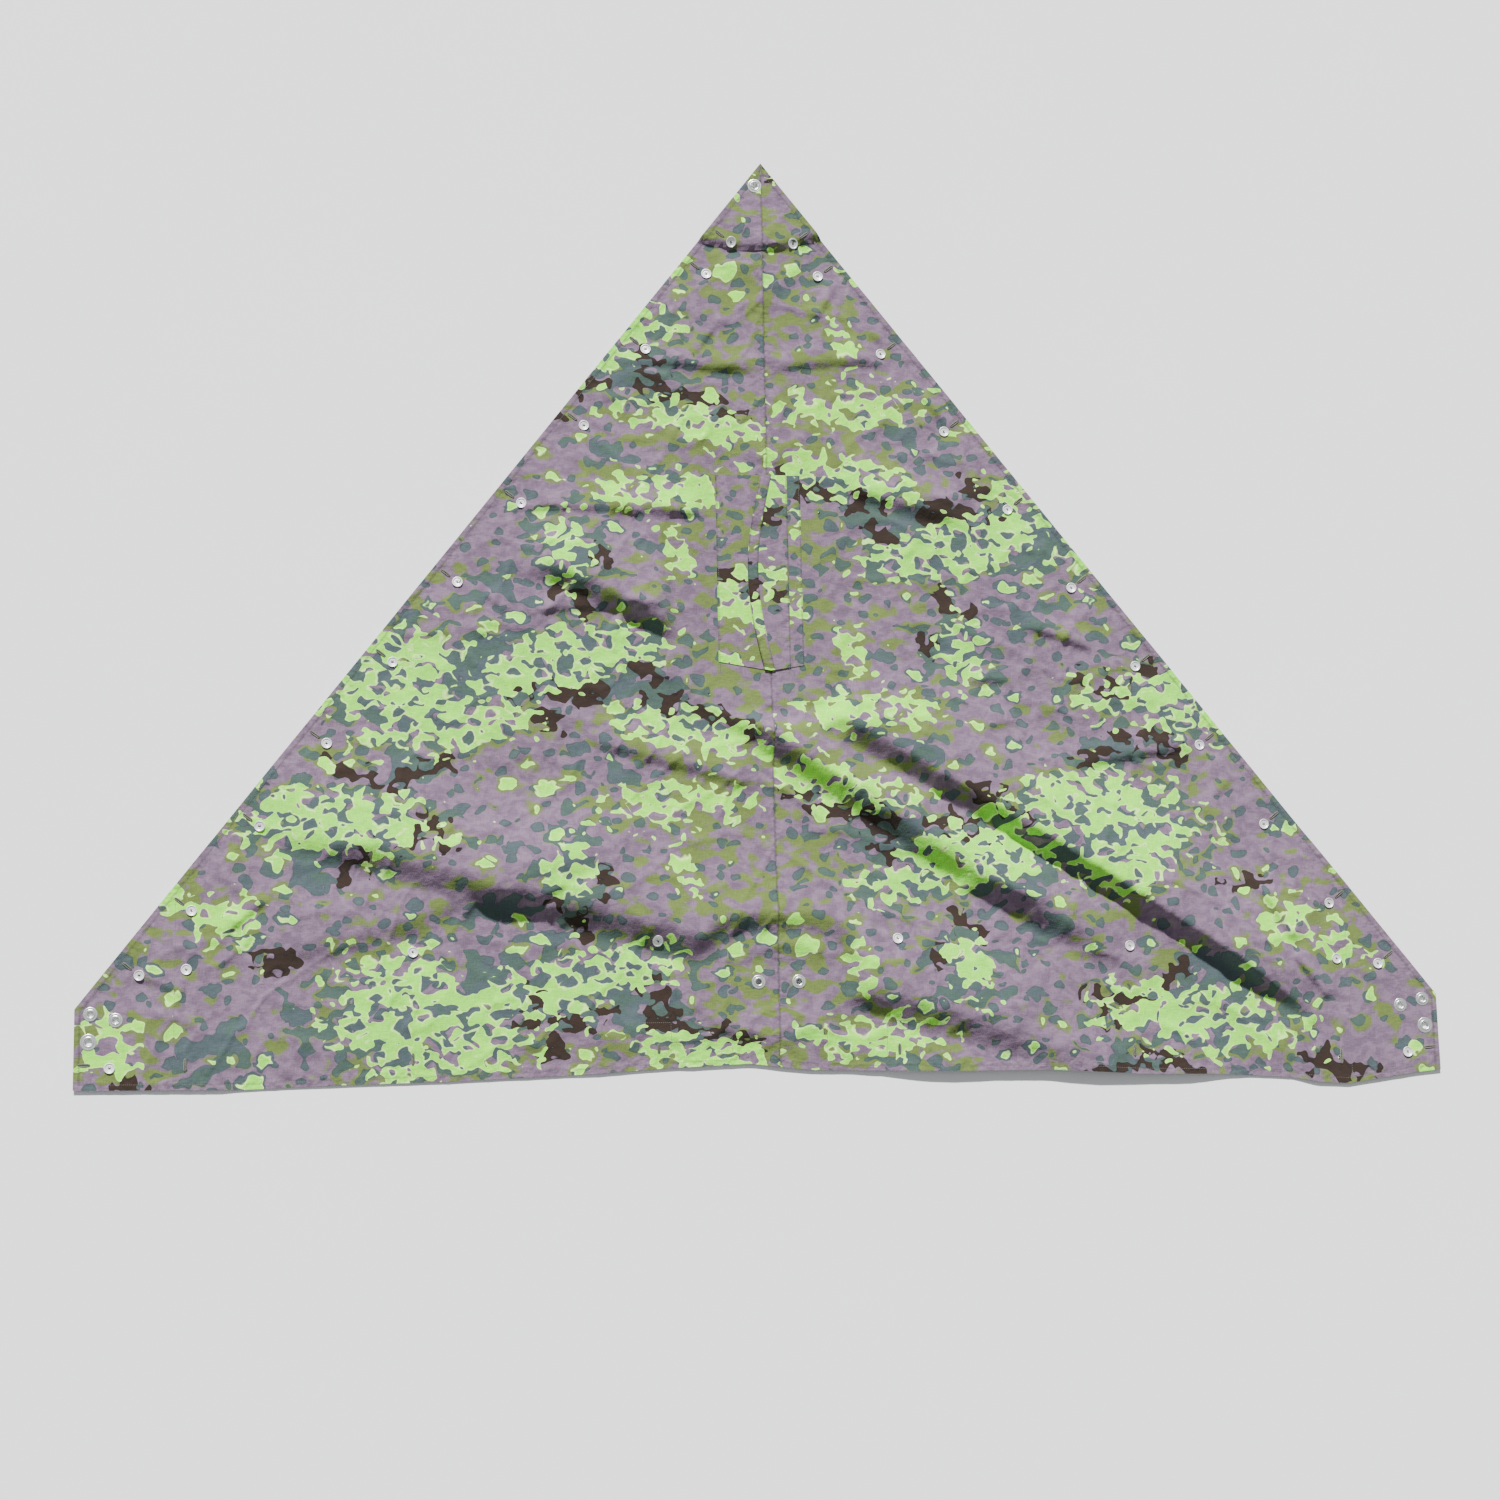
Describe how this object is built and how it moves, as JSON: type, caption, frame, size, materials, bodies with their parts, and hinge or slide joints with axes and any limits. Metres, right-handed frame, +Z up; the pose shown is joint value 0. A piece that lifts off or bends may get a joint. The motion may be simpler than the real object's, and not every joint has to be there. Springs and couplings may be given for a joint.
{
  "type": "buttoned shelter sheet",
  "caption": "Triangular camouflage cotton sheet with buttoned edges, corner eyelets and a flapped neck slit; a ground sheet, poncho or tent quarter.",
  "frame": {"origin": "middle of the bounding box in X and Y, at the ground the sheet lies on", "axes": "+X along the base edge to the right, +Y towards the apex, +Z up from the ground"},
  "size_m": [2.5, 1.7343, 0.041],
  "materials": {
    "panel_cotton": "matt printed cotton drill, mauve ground with slate, olive, lime and brown blotches",
    "flap_cotton": "the same printed cotton, cut from other parts of the print",
    "patch_cotton": "the same cotton under the sheet, print side down",
    "button_metal": "bare light metal, stamped, slightly dulled",
    "eyelet_metal": "bare light metal, rolled, slightly dulled"
  },
  "bodies": {
    "sheet": {"button_base_left_1": "button_metal", "button_base_left_2": "button_metal", "button_base_left_3": "button_metal", "button_base_right_1": "button_metal", "button_base_right_2": "button_metal", "button_base_right_3": "button_metal", "button_left_01": "button_metal", "button_left_02": "button_metal", "button_left_03": "button_metal", "button_left_04": "button_metal", "button_left_05": "button_metal", "button_left_06": "button_metal", "button_left_07": "button_metal", "button_left_08": "button_metal", "button_left_09": "button_metal", "button_left_10": "button_metal", "button_left_11": "button_metal", "button_left_corner": "button_metal", "button_right_01": "button_metal", "button_right_02": "button_metal", "button_right_03": "button_metal", "button_right_04": "button_metal", "button_right_05": "button_metal", "button_right_06": "button_metal", "button_right_07": "button_metal", "button_right_08": "button_metal", "button_right_09": "button_metal", "button_right_10": "button_metal", "button_right_11": "button_metal", "button_right_corner": "button_metal", "eyelet_apex": "eyelet_metal", "eyelet_base_left": "eyelet_metal", "eyelet_base_right": "eyelet_metal", "eyelet_left_1": "eyelet_metal", "eyelet_left_2": "eyelet_metal", "eyelet_left_3": "eyelet_metal", "eyelet_right_1": "eyelet_metal", "eyelet_right_2": "eyelet_metal", "eyelet_right_3": "eyelet_metal", "left_panel": "panel_cotton", "neck_facing": "flap_cotton", "patch_apex": "patch_cotton", "patch_base": "patch_cotton", "patch_left_buttonhole": "patch_cotton", "patch_left_corner": "patch_cotton", "patch_right_buttonhole": "patch_cotton", "patch_right_corner": "patch_cotton", "right_panel": "panel_cotton"},
    "outer_flap": {"outer_flap": "flap_cotton", "flap_binding": "flap_cotton"},
    "inner_flap": {"inner_flap": "flap_cotton"}
  },
  "joints": [
    {"name": "outer_flap_fold", "type": "hinge", "parent": "sheet", "child": "outer_flap", "pos_m": [0.0375, 0.06775, 0.0036], "axis": [0, 1, 0], "range_deg": [0, 110]},
    {"name": "inner_flap_fold", "type": "hinge", "parent": "sheet", "child": "inner_flap", "pos_m": [-0.0975, 0.06775, 0.0023], "axis": [0, -1, 0], "range_deg": [0, 44]}
  ],
  "couplings": [
    {"joint": "inner_flap_fold", "follows": "outer_flap_fold", "ratio": 0.4}
  ]
}
